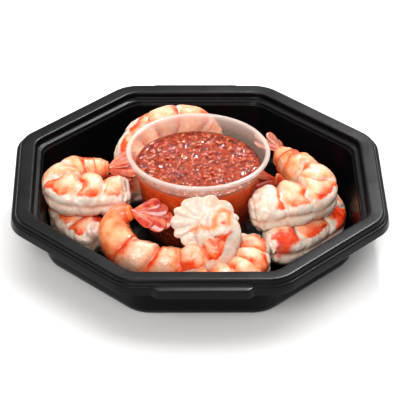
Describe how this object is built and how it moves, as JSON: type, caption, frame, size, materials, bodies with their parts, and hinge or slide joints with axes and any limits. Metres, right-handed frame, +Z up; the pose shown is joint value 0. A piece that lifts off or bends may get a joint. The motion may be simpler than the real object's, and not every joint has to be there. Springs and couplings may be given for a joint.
{
  "type": "shrimp cocktail",
  "caption": "Chilled shrimp cocktail: peeled tail-on shrimp curled round a cup of red sauce, in an octagonal plastic tray.",
  "frame": {"origin": "centre of the tray's flat underside, on the surface it stands on", "axes": "+Z up out of the tray, +Y away from the side that is looked at, +X to the right; the two pull tabs are on the -Y and +Y sides"},
  "size_m": [0.192, 0.1984, 0.049],
  "materials": {
    "tray_plastic": "black formed plastic sheet, satin",
    "cup_plastic": "milky see-through plastic",
    "sauce": "wet chunky tomato and horseradish sauce",
    "shrimp_flesh": "wet cooked shrimp, white to orange, with red shell on the tail"
  },
  "bodies": {
    "root": {"tray": "tray_plastic", "sauce_cup": "cup_plastic", "cocktail_sauce": "sauce", "shrimp_front": "shrimp_flesh", "shrimp_front_right": "shrimp_flesh", "shrimp_left_top": "shrimp_flesh", "shrimp_left_low": "shrimp_flesh", "shrimp_right_top": "shrimp_flesh", "shrimp_right_low": "shrimp_flesh", "shrimp_back": "shrimp_flesh"}
  },
  "joints": []
}
